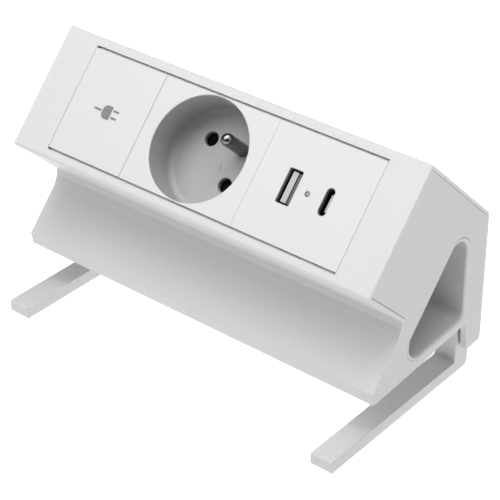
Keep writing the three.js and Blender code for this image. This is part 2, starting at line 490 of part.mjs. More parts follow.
const wire = (name, points, r, material, n = 26) => {
  const path = new THREE.CatmullRomCurve3(points.map((p) => new THREE.Vector3(...p)), false, "centripetal");
  add(face, name, new THREE.ExtrudeGeometry(shape(circle(0, 0, r, 8)), { steps: n, bevelEnabled: false, extrudePath: path }), material);
};
wire("live_wire", [[-37, 0, -26.5], [-33, 0.4, -27.0], [-30.6, 2.4, -31.5], [-27.6, 5.2, -35.6], [-23.5, 6.6, -36.9], [LIVE_X[0], 6.7, -35.0], [LIVE_X[0], 6.7, -31.5], [LIVE_X[0], 6.7, -25.8]], 1.0, M.red, 20);
wire("earth_wire", [[-37, 9, -26.5], [-33, 9.3, -27.0], [-30.2, 10.2, -31.5], [-27, 11.8, -35.6], [-18, 13.4, -37.2], [-4, 13.7, -37.2], [pinAt[0], 13.6, -35.0], [pinAt[0], 13.6, -31.5], [pinAt[0], 13.6, -21.4]], 1.0, M.green, 26);
wire("neutral_wire", [[-37, -9, -26.5], [-33, -9.1, -27.0], [-29.8, -9, -31.5], [-27, -8.6, -35.6], [-18, -7.4, -37.2], [1, -6.8, -37.2], [NEUTRAL_X[0], -6.7, -35.0], [NEUTRAL_X[0], -6.7, -31.5], [NEUTRAL_X[0], -6.7, -25.8]], 1.0, M.blue, 24);
wire("usb_live_wire", [[LIVE_X[1], 6.7, -25.8], [LIVE_X[1], 6.7, -31.5], [LIVE_X[1], 6.6, -35.0], [-12.6, 6.0, -37.1], [0, 3.6, -37.3], [14, 3.4, -37.3], [21.6, 3.5, -37.2], [25.6, 3.5, -35.0], [25.6, 3.5, -31.5], [25.6, 3.5, -17.1]], 0.9, M.red, 28);
wire("usb_neutral_wire", [[NEUTRAL_X[1], -6.7, -25.8], [NEUTRAL_X[1], -6.7, -31.5], [NEUTRAL_X[1], -6.6, -35.0], [14.0, -5.2, -37.1], [20.6, -2.4, -37.2], [25.6, -2.0, -35.0], [25.6, -2.0, -31.5], [25.6, -2.0, -17.1]], 0.9, M.blue, 24);

// ---------------------------------------------------------------- cable gland in the tunnel
// the housing wall lies between z = -38.9 and -40.2 here
const hex = (r, z0, z1, hole) => minus(solid(slab(circle(GLAND.x, GLAND.y, r, 6), z0, z1)), solid(slab(circle(GLAND.x, GLAND.y, hole, 24), z0 - 1, z1 + 1)));
const ringOf = (profile, n = 24) => turned(profile, GLAND.x, GLAND.y, n);
add(face, "gland_body", union(
  solid(ringOf([[4.2, -36.0], [5.9, -36.0], [5.9, -40.5], [8.2, -40.5], [8.2, -43.0], [6.2, -43.0], [6.2, -48.0], [4.2, -48.0], [4.2, -36.0]]))), M.dark);
add(face, "gland_lock_nut", hex(8.8, -38.6, -36.4, 6.15), M.dark);
add(face, "gland_seal", ringOf([[2.9, -44.0], [3.95, -44.0], [3.95, -48.6], [2.9, -48.6], [2.9, -44.0]]), M.rubber);
add(face, "gland_dome_nut", ringOf([[6.5, -43.3], [8.0, -43.3], [8.0, -48.0], [6.6, -50.6], [3.6, -51.4], [3.6, -49.0], [6.5, -48.4], [6.5, -43.3]]), M.dark);

// ---------------------------------------------------------------- origin
object.updateMatrixWorld(true);
const bounds = new THREE.Box3().setFromObject(object, true);
const centre = bounds.getCenter(new THREE.Vector3());
model.position.set(0, -centre.y, -bounds.min.z);
object.name = "desk_power_strip";

export default object;
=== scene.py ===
"""Looks for the desk power strip: detailed meshes, procedural materials, studio light and camera.
Lengths in the drawing helpers are millimetres in the section frame of the part (x along the housing,
y back, z up from the underside); world() turns them into the row frame."""
import json
import math

import bmesh
import bpy
from mathutils import Matrix, Vector

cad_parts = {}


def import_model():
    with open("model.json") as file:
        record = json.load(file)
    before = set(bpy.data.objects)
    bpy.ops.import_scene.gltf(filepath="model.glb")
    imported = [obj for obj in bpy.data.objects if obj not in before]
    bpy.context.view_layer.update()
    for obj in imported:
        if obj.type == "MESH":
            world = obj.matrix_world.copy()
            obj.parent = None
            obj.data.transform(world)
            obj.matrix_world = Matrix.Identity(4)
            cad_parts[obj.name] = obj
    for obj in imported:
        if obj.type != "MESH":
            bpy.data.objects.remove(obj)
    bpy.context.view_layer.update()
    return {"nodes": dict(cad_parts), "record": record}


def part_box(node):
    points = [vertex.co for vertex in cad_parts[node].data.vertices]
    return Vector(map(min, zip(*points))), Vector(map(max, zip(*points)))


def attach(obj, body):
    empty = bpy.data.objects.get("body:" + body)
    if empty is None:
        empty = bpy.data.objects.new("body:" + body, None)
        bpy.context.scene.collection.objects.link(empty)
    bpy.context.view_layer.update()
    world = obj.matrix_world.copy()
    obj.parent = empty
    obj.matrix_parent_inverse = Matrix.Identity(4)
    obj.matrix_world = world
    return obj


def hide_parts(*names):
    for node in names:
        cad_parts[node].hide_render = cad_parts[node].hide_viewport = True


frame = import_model()
nodes = frame["nodes"]

# ------------------------------------------------------------------ frame
_hlo, _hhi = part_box("housing_profile")
YC = 67.2 - _hhi.y * 1000
ZB = _hlo.z * 1000 + 12.95
TO_ROW = Matrix.Scale(0.001, 4) @ Matrix.Translation((0, -YC, ZB))
FACE = Matrix.Translation((0, 11.715, 62.995)) @ Matrix.Rotation(math.pi / 4, 4, "X")


def world(p):
    return TO_ROW @ Vector(p)


# ------------------------------------------------------------------ sizes, as in the part
HALF = 79.0
WALL = 1.3
RECESS = 2.2
CAP_T = 2.0
SQ = math.sqrt(0.5)
OUTLINE = [
    (-0.4, -0.8, 0.8), (35.6, -0.8, 0.2), (36.2, 0, 0.2), (57.0, 0, 0.5), (58.4, -12.95, 0.8), (67.2, -12.95, 1.2),
    (67.2, 41.66, 1.2), (28.79, 80.07, 0.8), (-5.36, 45.92, 1.2), (15.2, 25.36, 0.8),
    (15.0, 22.6, 2.5), (13.2, 18.9, 3.0), (-1.1, 4.4, 0.7),
]
T_R = {"left": 7.7, "right": 3.0, "top": 7.0}
SOCKET_C = -5.15
PIN = (SOCKET_C + SQ * 10, SQ * 10)
HOLES = [(SOCKET_C - SQ * 9.5, SQ * 9.5), (SOCKET_C + SQ * 9.5, -SQ * 9.5)]
GLAND = (-52.0, -8.0)
ARM_X, ARM_W = 70.85, 8.9
RAKE = math.radians(3.27)


# ------------------------------------------------------------------ outlines
def rounded(points, step=5.0):
    out = []
    n = len(points)
    for i in range(n):
        x, y = points[i][:2]
        r = points[i][2] if len(points[i]) > 2 else 0
        if not r:
            out.append((x, y))
            continue
        p = Vector((x, y))
        a = Vector(points[i - 1][:2]) - p
        b = Vector(points[(i + 1) % n][:2]) - p
        la, lb = a.length, b.length
        a.normalize(); b.normalize()
        ang = math.acos(max(-1, min(1, a.dot(b))))
        t = min(r / math.tan(ang / 2), la * 0.499, lb * 0.499)
        rr = t * math.tan(ang / 2)
        c = p + (a + b).normalized() * (rr / math.sin(ang / 2))
        s, e = p + a * t - c, p + b * t - c
        a0, a1 = math.atan2(s.y, s.x), math.atan2(e.y, e.x)
        d = (a1 - a0 + math.pi) % (2 * math.pi) - math.pi
        k = max(2, math.ceil(abs(math.degrees(d)) / step))
        out += [(c.x + rr * math.cos(a0 + d * j / k), c.y + rr * math.sin(a0 + d * j / k)) for j in range(k + 1)]
    return out


def inset(points, d):
    """Move each edge of a counter-clockwise outline inwards; d is one number or one per edge."""
    n = len(points)
    ds = d if isinstance(d, (list, tuple)) else [d] * n

    def line(i):
        (x0, y0), (x1, y1) = points[i][:2], points[(i + 1) % n][:2]
        l = math.hypot(x1 - x0, y1 - y0)
        return x0 - (y1 - y0) / l * ds[i], y0 + (x1 - x0) / l * ds[i], (x1 - x0) / l, (y1 - y0) / l
    out = []
    for i in range(n):
        ax, ay, adx, ady = line((i - 1) % n)
        bx, by, bdx, bdy = line(i)
        det = adx * bdy - ady * bdx
        if abs(det) < 1e-6:
            x, y = bx, by
        else:
            t = ((bx - ax) * bdy - (by - ay) * bdx) / det
            x, y = ax + adx * t, ay + ady * t
        m = max(ds[i], ds[i - 1])
        out.append((x, y, max(0.25, points[i][2] - m) if len(points[i]) > 2 and points[i][2] else 0))
    return out


def tri(off, radii=None):
    r = radii or {k: v + off for k, v in T_R.items()}
    hyp, right, floor = 5.6 - off * math.sqrt(2), 54.6 + off, 3.8 - off
    return [(floor + hyp, floor, r["left"]), (right, floor, r["right"]), (right, right - hyp, r["top"])]


def rect(x0, x1, y0, y1, r=0.0, step=7.5):
    return rounded([(x0, y0, r), (x1, y0, r), (x1, y1, r), (x0, y1, r)], step)


def circle(cx, cy, r, n=48):
    return [(cx + r * math.cos(2 * math.pi * i / n), cy + r * math.sin(2 * math.pi * i / n)) for i in range(n)]


# ------------------------------------------------------------------ solids, as bpy meshes in millimetres
def from_bm(bm, name="m"):
    bmesh.ops.recalc_face_normals(bm, faces=bm.faces)
    me = bpy.data.meshes.new(name)
    bm.to_mesh(me)
    bm.free()
    return me


def prism(points, a, b, axis="X"):
    """An outline pulled along X (outline in y, z), along Z (outline in x, y) or along Y (outline in x, z)."""
    put = {"X": lambda p, t: (t, p[0], p[1]), "Z": lambda p, t: (p[0], p[1], t), "Y": lambda p, t: (p[0], t, p[1])}[axis]
    bm = bmesh.new()
    lo = [bm.verts.new(put(p, a)) for p in points]
    hi = [bm.verts.new(put(p, b)) for p in points]
    n = len(points)
    bm.faces.new(lo)
    bm.faces.new(hi)
    for i in range(n):
        bm.faces.new((lo[i], lo[(i + 1) % n], hi[(i + 1) % n], hi[i]))
    return from_bm(bm)


def loft(sections):
    """A solid through outlines in (y, z) that have the same number of points, each at its own x."""
    bm = bmesh.new()
    rows = [[bm.verts.new((x, y, z)) for y, z in pts] for x, pts in sections]
    n = len(rows[0])
    bm.faces.new(rows[0])
    bm.faces.new(rows[-1])
    for a, b in zip(rows, rows[1:]):
        for i in range(n):
            bm.faces.new((a[i], a[(i + 1) % n], b[(i + 1) % n], b[i]))
    return from_bm(bm)


def lathe(profile, cx=0.0, cy=0.0, n=64, axis="Z"):
    """A turned solid; the profile is (radius, height) and starts and ends on the axis, or closes on itself."""
    bm = bmesh.new()
    rings = []
    for r, z in profile:
        if r < 1e-6:
            rings.append([bm.verts.new((cx, cy, z))])
        else:
            rings.append([bm.verts.new((cx + r * math.cos(2 * math.pi * i / n), cy + r * math.sin(2 * math.pi * i / n), z)) for i in range(n)])
    loop = len(rings) if profile[0] == profile[-1] and profile[0][0] > 1e-6 else None
    if loop:
        for v in rings[-1]:
            bm.verts.remove(v)
        rings[-1] = rings[0]
    for a, b in zip(rings, rings[1:]):
        if len(a) == 1 and len(b) == 1:
            continue
        for i in range(n):
            j = (i + 1) % n
            if len(a) == 1:
                bm.faces.new((a[0], b[i], b[j]))
            elif len(b) == 1:
                bm.faces.new((a[i], b[0], a[j]))
            else:
                bm.faces.new((a[i], b[i], b[j], a[j]))
    me = from_bm(bm)
    if axis == "Y":
        me.transform(Matrix.Rotation(-math.pi / 2, 4, "X"))
    return me


def moved(me, matrix):
    me.transform(matrix)
    return me


def combine(base, op, *others):
    """Join, cut or intersect meshes with the exact solver and give the result back as a mesh."""
    ob = bpy.data.objects.new("work", base)
    bpy.context.scene.collection.objects.link(ob)
    tools = []
    for me in others:
        t = bpy.data.objects.new("tool", me)
        bpy.context.scene.collection.objects.link(t)
        tools.append(t)
        m = ob.modifiers.new("b", "BOOLEAN")
        m.operation, m.solver, m.object = op, "EXACT", t
    bpy.context.view_layer.update()
    out = bpy.data.meshes.new_from_object(ob.evaluated_get(bpy.context.evaluated_depsgraph_get()))
    for o in [ob, *tools]:
        bpy.data.objects.remove(o)
    return out


def cut(base, *others):
    return combine(base, "DIFFERENCE", *others)


def join(base, *others):
    return combine(base, "UNION", *others)


def tidy(me, dist=0.004):
    bm = bmesh.new()
    bm.from_mesh(me)
    bmesh.ops.remove_doubles(bm, verts=bm.verts, dist=dist)
    bmesh.ops.dissolve_degenerate(bm, edges=bm.edges, dist=dist)
    # large outlines with holes are split into plain convex faces
    big = [f for f in bm.faces if len(f.verts) > 4]
    done = bmesh.ops.triangulate(bm, faces=big, quad_method="BEAUTY", ngon_method="BEAUTY")
    bmesh.ops.recalc_face_normals(bm, faces=bm.faces)
    bm.to_mesh(me)
    bm.free()
    return me


def piece(name, me, body, material, replaces=(), bevel=0.0, segments=3, sharp=32, where=None, bevel_angle=32, crisp=None, second=None):
    """Place a mesh drawn in millimetres as a finished piece: rounded edges, smooth shading, material, body."""
    if crisp:
        bm = bmesh.new()
        bm.from_mesh(me)
        weight = bm.edges.layers.float.new("bevel_weight_edge")
        for e in bm.edges:
            turn = e.calc_face_angle(0.0)
            e[weight] = 1.0 if turn > math.radians(bevel_angle) and not crisp(e.verts[0].co, e.verts[1].co) else 0.0
        bm.to_mesh(me)
        bm.free()
    if where is not None:
        me.transform(where)
    me.transform(TO_ROW)
    me.name = name
    ob = bpy.data.objects.new(name, me)
    bpy.context.scene.collection.objects.link(ob)
    if bevel:
        m = ob.modifiers.new("edge", "BEVEL")
        m.width, m.segments, m.limit_method, m.angle_limit = bevel * 0.001, segments, "WEIGHT" if crisp else "ANGLE", math.radians(bevel_angle)
        m.use_clamp_overlap = False
        m.miter_outer = "MITER_ARC" if segments > 2 else "MITER_SHARP"
        bpy.context.view_layer.update()
        done = bpy.data.meshes.new_from_object(ob.evaluated_get(bpy.context.evaluated_depsgraph_get()))
        for i in range(3):                            # the rounding stays inside the plain shape's box
            lo, hi = min(v.co[i] for v in me.vertices), max(v.co[i] for v in me.vertices)
            for v in done.vertices:
                v.co[i] = min(hi, max(lo, v.co[i]))
        ob.modifiers.clear()
        ob.data = done
        done.name = name
    ob.data.shade_smooth()
    ob.data.set_sharp_from_angle(angle=math.radians(sharp))
    w = ob.modifiers.new("normals", "WEIGHTED_NORMAL")
    w.keep_sharp = True
    ob.data.materials.clear()
    ob.data.materials.append(material)
    if second:
        ob.data.materials.append(second[0])
        back = (TO_ROW @ (where or Matrix.Identity(4))).inverted()
        for poly in ob.data.polygons:
            poly.material_index = 1 if second[1](back @ poly.center) else 0
    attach(ob, body)
    if replaces:
        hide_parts(*([replaces] if isinstance(replaces, str) else replaces))
    return ob


# ------------------------------------------------------------------ materials
def material(name, color, rough, metal=0.0, bump=0.0, bump_scale=3000.0, spots=0.0, spot_scale=900.0,
             rough_var=0.0, coat=0.0, coat_rough=0.1, ior=1.5, detail=3.0, brush=None, dust=0.0, specular=0.5):
    m = bpy.data.materials.new(name)
    m.use_nodes = True
    nt = m.node_tree
    bsdf = nt.nodes["Principled BSDF"]
    bsdf.inputs["Base Color"].default_value = (*color, 1)
    bsdf.inputs["Roughness"].default_value = rough
    bsdf.inputs["Metallic"].default_value = metal
    bsdf.inputs["IOR"].default_value = ior
    bsdf.inputs["Specular IOR Level"].default_value = specular
    bsdf.inputs["Coat Weight"].default_value = coat
    bsdf.inputs["Coat Roughness"].default_value = coat_rough
    tc = nt.nodes.new("ShaderNodeTexCoord")
    mp = nt.nodes.new("ShaderNodeMapping")
    nt.links.new(tc.outputs["Object"], mp.inputs["Vector"])
    if brush:
        mp.inputs["Scale"].default_value = brush
    vec = mp.outputs["Vector"]

    def noise(scale, det, r=0.55):
        n = nt.nodes.new("ShaderNodeTexNoise")
        n.inputs["Scale"].default_value = scale
        n.inputs["Detail"].default_value = det
        n.inputs["Roughness"].default_value = r
        nt.links.new(vec, n.inputs["Vector"])
        return n

    def remap(src, lo, hi, a=0.35, b=0.65):
        r = nt.nodes.new("ShaderNodeMapRange")
        r.inputs["From Min"].default_value, r.inputs["From Max"].default_value = a, b
        r.inputs["To Min"].default_value, r.inputs["To Max"].default_value = lo, hi
        nt.links.new(src, r.inputs["Value"])
        return r.outputs["Result"]

    if spots or dust:
        n = noise(spot_scale, 4)
        mix = nt.nodes.new("ShaderNodeMix")
        mix.data_type = "RGBA"
        mix.inputs["A"].default_value = (*[c * (1 - spots) for c in color], 1)
        mix.inputs["B"].default_value = (*[min(1, c * (1 + spots)) for c in color], 1)
        nt.links.new(remap(n.outputs["Fac"], 0, 1), mix.inputs["Factor"])
        nt.links.new(mix.outputs["Result"], bsdf.inputs["Base Color"])
    if rough_var:
        n = noise(spot_scale * 0.35, 3)
        nt.links.new(remap(n.outputs["Fac"], rough - rough_var, rough + rough_var), bsdf.inputs["Roughness"])
    if bump:
        n = noise(bump_scale, detail)
        b = nt.nodes.new("ShaderNodeBump")
        b.inputs["Strength"].default_value = bump
        b.inputs["Distance"].default_value = 0.00008
        nt.links.new(n.outputs["Fac"], b.inputs["Height"])
        nt.links.new(b.outputs["Normal"], bsdf.inputs["Normal"])
    return m


WHITE = 0.62
MAT = {
    "powder": material("powder_coat_white", (WHITE, WHITE, WHITE * 0.998), 0.46, bump=0.30, bump_scale=2600, spots=0.008, rough_var=0.05, specular=0.4),
    "bracket": material("bracket_paint", (WHITE * 0.95, WHITE * 0.955, WHITE * 0.955), 0.46, bump=0.30, bump_scale=2600, spots=0.008, rough_var=0.05, specular=0.4),
    "cap": material("end_cap_plastic", (WHITE * 0.97, WHITE * 0.965, WHITE * 0.965), 0.55, bump=0.35, bump_scale=5200, spots=0.01, rough_var=0.04, specular=0.35),
    "module": material("module_plastic", (WHITE, WHITE, WHITE * 1.002), 0.34, bump=0.12, bump_scale=3800, spots=0.004, rough_var=0.04, specular=0.45),
    # darker copy of the module white for the socket's recess: painted shade, the real insert is one white plastic
    "well": material("socket_recess_painted_shade", (WHITE * 0.60, WHITE * 0.61, WHITE * 0.61), 0.45, bump=0.2, bump_scale=3800, spots=0.006, rough_var=0.04, specular=0.45),
    # near black: the shutter's own colour, and painted shade inside the USB cans and on the deep end of the USB-C
    # tongue
    "black": material("matt_black_and_painted_port_shade", (0.004, 0.004, 0.004), 0.8, bump=0.2, bump_scale=4000, spots=0.1, specular=0.08),
    # dark grey for the port mouths and the deep end of the USB-A tongue: painted shade, the real shell is steel and the
    # real tongue white plastic
    "port": material("port_painted_shade", (0.13, 0.13, 0.132), 0.45, bump=0.1, bump_scale=2500, spots=0.04, specular=0.3),
    "tongue": material("port_tongue", (0.46, 0.46, 0.46), 0.40, bump=0.1, bump_scale=3000, spots=0.02, specular=0.3),
    "dark": material("dark_plastic", (0.012, 0.012, 0.013), 0.5, bump=0.3, bump_scale=4000, spots=0.1, rough_var=0.06),
    "brass": material("contact_brass", (0.72, 0.52, 0.24), 0.28, metal=1, bump=0.1, bump_scale=2500, spots=0.04, rough_var=0.06),
    # the pin's nickel is drawn dark grey: painted dark reflections on the shaft, real nickel is brighter
    "nickel": material("pin_nickel", (0.24, 0.24, 0.245), 0.24, metal=1, bump=0.05, bump_scale=2500, spots=0.03, rough_var=0.03),
    "steel": material("zinc_steel", (0.56, 0.57, 0.58), 0.33, metal=1, bump=0.2, bump_scale=1600, spots=0.05, rough_var=0.08, brush=(1, 1, 6)),
    "shell": material("usb_shell_steel", (0.50, 0.50, 0.50), 0.30, metal=1, bump=0.1, bump_scale=2500, spots=0.04, rough_var=0.05),
    "board": material("board_green", (0.015, 0.11, 0.05), 0.35, bump=0.2, bump_scale=1500, spots=0.15, rough_var=0.1),
    "rubber": material("pad_rubber", (0.05, 0.05, 0.052), 0.8, bump=0.6, bump_scale=2600, spots=0.12, rough_var=0.05),
    "pipe": material("light_pipe", (0.27, 0.275, 0.28), 0.25, bump=0.05, bump_scale=2000, spots=0.03, coat=0.4),
    "sleeve": material("capacitor_sleeve", (0.02, 0.02, 0.028), 0.35, bump=0.1, bump_scale=1500, spots=0.1),
    "brown": material("wire_brown", (0.10, 0.04, 0.02), 0.42, bump=0.15, bump_scale=1800, spots=0.05),
    "blue": material("wire_blue", (0.02, 0.07, 0.30), 0.42, bump=0.15, bump_scale=1800, spots=0.05),
    "green": material("wire_green_yellow", (0.10, 0.26, 0.03), 0.42, bump=0.15, bump_scale=1800, spots=0.05),
    "ink": material("print_grey", (0.19, 0.19, 0.19), 0.5, bump=0.1, bump_scale=4000, spots=0.03),
}
BY_SLOT = {
    "powder_coat_white": "powder", "bracket_paint": "bracket", "end_cap_plastic": "cap", "module_plastic": "module",
    "dark_plastic": "dark", "capacitor_sleeve": "sleeve", "contact_brass": "brass", "pin_nickel": "nickel",
    "zinc_steel": "steel", "board_green": "board", "light_pipe": "pipe", "pad_rubber": "rubber",
    "wire_brown": "brown", "wire_blue": "blue", "wire_green_yellow": "green",
}
for sub in frame["record"]["subparts"]:
    ob = nodes[sub["node"]]
    ob.data.materials.clear()
    ob.data.materials.append(MAT[BY_SLOT[sub["material_slot"]]])
    ob.data.shade_smooth()
    ob.data.set_sharp_from_angle(angle=math.radians(34))

nodes["socket_shutter"].data.materials.clear()
nodes["socket_shutter"].data.materials.append(MAT["black"])

# ------------------------------------------------------------------ housing
X0, X1 = -HALF - 5, HALF + 5
device = rounded([(23.08, 19.32, 0.6), (53.0, 49.24, 0.6), (53.0, 54.02, 0.6), (28.79, 78.23, 0.4), (-3.52, 45.92, 0.4)], 15)
rear = rounded([(59.85, -11.65, 0.4), (65.9, -11.65, 0.4), (65.9, 41.12, 0.6), (54.7, 52.32, 0.6), (54.7, 46.5, 0), (56.15, 43.5, 0), (56.15, 1.3, 0), (58.35, 1.3, 0)], 15)
lip = rounded([(0.9, 0.5, 0.3), (18.2, 0.5, 0.5), (18.2, 11.5, 1), (14.4, 16.4, 0.8), (11.9, 15.4, 0.8), (0.9, 4.6, 0.3)], 15)
# rim left round the end cap, and the seam between the two: open along the rear slope and
# under the face, nearly closed elsewhere
RIM = [WALL] * len(OUTLINE)
RIM[0] = RIM[1] = 0.8
RIM[12] = 0.55
SEAM = [0.05, 0.02, 0.02, 0.02, 0.02, 0.02, 0.14, 0.02, 0.20, 0.05, 0.02, 0.02, 0.14]
inner = rounded(inset(OUTLINE, RIM), 5)
HYP_SIDE = [(5.6 - 60, -60), (200, -60), (200, 194.4)]


def hyp_side(off=0.0):
    return prism([(p[0] + off, p[1]) for p in HYP_SIDE], X0 - 5, X1 + 5)


body = prism(rounded(OUTLINE, 4), -HALF, HALF)
body = cut(body, prism(device, X0, X1), prism(rear, X0, X1), prism(lip, X0, X1))


def face_prism(points, a, b):
    return moved(prism(points, a, b, "Z"), FACE)


for y0, y1 in ((21.2, 23.2), (-23.2, -21.2)):
    body = join(body, face_prism(rect(-HALF + RECESS, HALF - RECESS, y0, y1), -5.1, -4.0))
ring_outline = rounded(tri(1.3), 4)
ring = combine(prism(ring_outline, X0, X1), "INTERSECT", hyp_side(0.6))
for s in (-1, 1):
    a, b = (HALF - RECESS, HALF + 2) if s > 0 else (-HALF - 2, -HALF + RECESS)
    body = cut(body, cut(prism(inner, a, b), ring.copy()))
body = cut(body, prism(rounded(tri(0), 4), X0, X1))


def mouth(o):
    """The tunnel's outline where its floor and rear wall open out by o."""
    right, floor = 54.6 + o, 3.8 - o
    return rounded([(floor + 5.6, floor, T_R["left"] + 0.4 * o), (right, floor, T_R["right"] + o), (right, right - 5.6, T_R["top"] + 0.4 * o)], 4)


MOUTH = 1.15
for s in (-1, 1):
    stages = [(HALF + 0.5, MOUTH)]
    stages += [(HALF - MOUTH * (1 - math.cos(k * math.pi / 20)) , MOUTH * (1 - math.sin(k * math.pi / 20))) for k in range(0, 11)]
    stages += [(HALF - MOUTH - 0.4, -0.01)]
    body = cut(body, loft([(s * x, mouth(o)) for x, o in stages]))
body = cut(body, face_prism(rect(-64, 64, -20.75, 20.75, 0.5), -3, 3), face_prism(circle(*GLAND, 6.3), -42, -36))
for s in (-1, 1):
    x = s * ARM_X
    slot = rounded([(x - 2.3, 19 - 27.4, 2.25), (x + 2.3, 19 - 27.4, 2.25), (x + 2.3, 19 + 10.4, 2.25), (x - 2.3, 19 + 10.4, 2.25)], 7.5)
    body = cut(body, moved(prism(rect(x - ARM_W / 2 - 1, x + ARM_W / 2 + 1, 56.3, 65.9), -13.95, 3.6, "Z"), Matrix.Identity(4)),
               prism(slot, 65, 69, "Y"))


def at_seam(a, b):
    """True for an edge of the housing that borders the seat of an end cap, which stays crisp."""
    if min(abs(a.x), abs(b.x)) < HALF - 0.01:
        return False
    p = (a + b) / 2
    for outline in (inner, ring_outline):
        for (y0, z0), (y1, z1) in zip(outline, outline[1:] + outline[:1]):
            l = math.hypot(y1 - y0, z1 - z0)
            t = ((p.y - y0) * (y1 - y0) + (p.z - z0) * (z1 - z0)) / max(l * l, 1e-9)
            if -0.05 <= t <= 1.05 and abs((p.y - y0) * (z1 - z0) - (p.z - z0) * (y1 - y0)) / max(l, 1e-6) < 0.02:
                return True
    return False


piece("housing_shell", tidy(body), "housing", MAT["powder"], "housing_profile", bevel=0.2, segments=3, crisp=at_seam)

# ------------------------------------------------------------------ end caps
cap_outline = rounded(inset(OUTLINE, [r + g for r, g in zip(RIM, SEAM)]), 5)
hole_r = {"left": T_R["left"] + 1.3 - 0.09, "right": T_R["right"] + 1.32, "top": T_R["top"] + 1.3 - 0.12}
for name, s in (("end_cap_right", 1), ("end_cap_left", -1)):
    a, b = (HALF - CAP_T, HALF) if s > 0 else (-HALF, -HALF + CAP_T)
    hole = combine(prism(rounded(tri(1.33, hole_r), 4), X0, X1), "INTERSECT", hyp_side(0.3))
    cap = cut(prism(cap_outline, a, b), hole)
    piece(name + "_plate", tidy(cap), "housing", MAT["cap"], name)

# ------------------------------------------------------------------ clamp brackets
tip = 57.0 - 75.3


def rise(y):
    return math.tan(RAKE) * (57.0 - y)


leg = rounded([
    (65.4, 32.0, 1.0), (57.0, 32.0, 1.0), (57.0, -19.8, 0.8),
    (tip, -19.8 + rise(tip), 0.9), (tip, -24.8 + rise(tip), 0.9), (65.4, -24.8 + rise(65.4), 2.2)][::-1], 9)
for side, s in (("left", -1), ("right", 1)):
    x = s * ARM_X
    bar = prism(leg, x - ARM_W / 2, x + ARM_W / 2)
    bar = cut(bar, prism(circle(x, 19.0, 2.15, 32), 50, 70, "Y"))
    piece(f"clamp_bar_{side}", tidy(bar), f"clamp_{side}", MAT["bracket"], f"clamp_bracket_{side}", bevel=0.22, segments=3, bevel_angle=50)
    about = Matrix.Translation((x, 0, 19.0))
    washer = lathe([(2.25, 67.5), (4.25, 67.5), (4.4, 67.6), (4.4, 68.05), (4.25, 68.2), (2.4, 68.2), (2.25, 68.05), (2.25, 67.5)], n=64, axis="Y")
    piece(f"washer_{side}", moved(washer, about), f"clamp_{side}", MAT["steel"], f"lock_washer_{side}")
    shank = [(0, 58.0), (1.5, 58.0), (1.9, 58.5)]
    y = 58.5
    while y < 67.6:                                   # rolled thread, drawn as rings
        shank += [(1.9, y), (1.62, y + 0.3), (1.9, y + 0.6)]
        y += 0.7
    shank += [(1.9, 68.45), (4.0, 68.45), (4.0, 69.0)]
    shank += [(4.0 - 1.7 * (1 - math.cos(t * math.pi / 16)) , 69.0 + 1.6 * math.sin(t * math.pi / 16)) for t in range(1, 9)]
    shank += [(1.9, 70.6), (0, 70.6)]
    screw = lathe(shank, n=48, axis="Y")
    key = prism([(1.45 * math.cos(math.pi * k / 3), 1.45 * math.sin(math.pi * k / 3)) for k in range(6)], 69.0, 72, "Y")
    piece(f"screw_{side}", moved(cut(screw, key), about), f"screw_{side}", MAT["steel"], f"lock_screw_{side}", sharp=28)

# ------------------------------------------------------------------ face modules
def plate(x0, x1):
    top = prism(rect(x0, x1, -19.95, 19.95, 0.4), -1.75, -0.05, "Z")
    return join(top, prism(rect(x0, x1, -22.4, 22.4), -3.6, -1.65, "Z"))


piece("blank_module", tidy(plate(-63.86, -30.38)), "housing", MAT["module"], "blank_plate", bevel=0.05, segments=2, where=FACE)

fl = 2.4
well_cut = [(0, 1), (19.95, 1), (19.95, 0.0)]
well_cut += [(19.5 + 0.45 * (1 - math.sin(t * math.pi / 12)), -0.05 - 0.45 * (1 - math.cos(t * math.pi / 12))) for t in range(0, 7)]
well_cut += [(19.5 - fl + fl * math.cos(t * math.pi / 20), -(14.9 - fl) - fl * math.sin(t * math.pi / 20)) for t in range(0, 11)]
well_cut += [(0, -14.9)]
well = join(plate(-30.22, 19.96), lathe([(0, -1.7), (20.7, -1.7), (20.7, -16.9), (0, -16.9)], SOCKET_C, 0, 128))
well = cut(well, lathe(well_cut, SOCKET_C, 0, 128),
           *[lathe([(0, 0), (3.0, 0), (3.0, -14.85), (2.7, -15.15), (2.7, -18), (0, -18)], x, y, 48) for x, y in HOLES],
           prism(circle(*PIN, 2.43, 64), -18, 0, "Z"))
# faces inside the socket's recess take the darker copy of the white: painted shade in the recess
piece("socket_module", tidy(well), "housing", MAT["module"], "socket_insert", bevel=0.08, segments=2, where=FACE, bevel_angle=60, sharp=30,
      second=(MAT["well"], lambda p: p.z < -0.25 and math.hypot(p.x - SOCKET_C, p.y) < 19.9))

pin = [(0, -1.1)]
pin += [(2.4 * math.sin(t * math.pi / 20), -1.1 - 2.4 * (1 - math.cos(t * math.pi / 20))) for t in range(1, 11)]
pin += [(2.4, -17.6), (4.0, -17.6), (4.0, -19.8), (1.6, -19.8), (1.6, -21.9), (0, -21.9)]
piece("earth_pin_turned", lathe(pin, *PIN, 64), "housing", MAT["nickel"], "earth_pin", where=FACE, sharp=40)

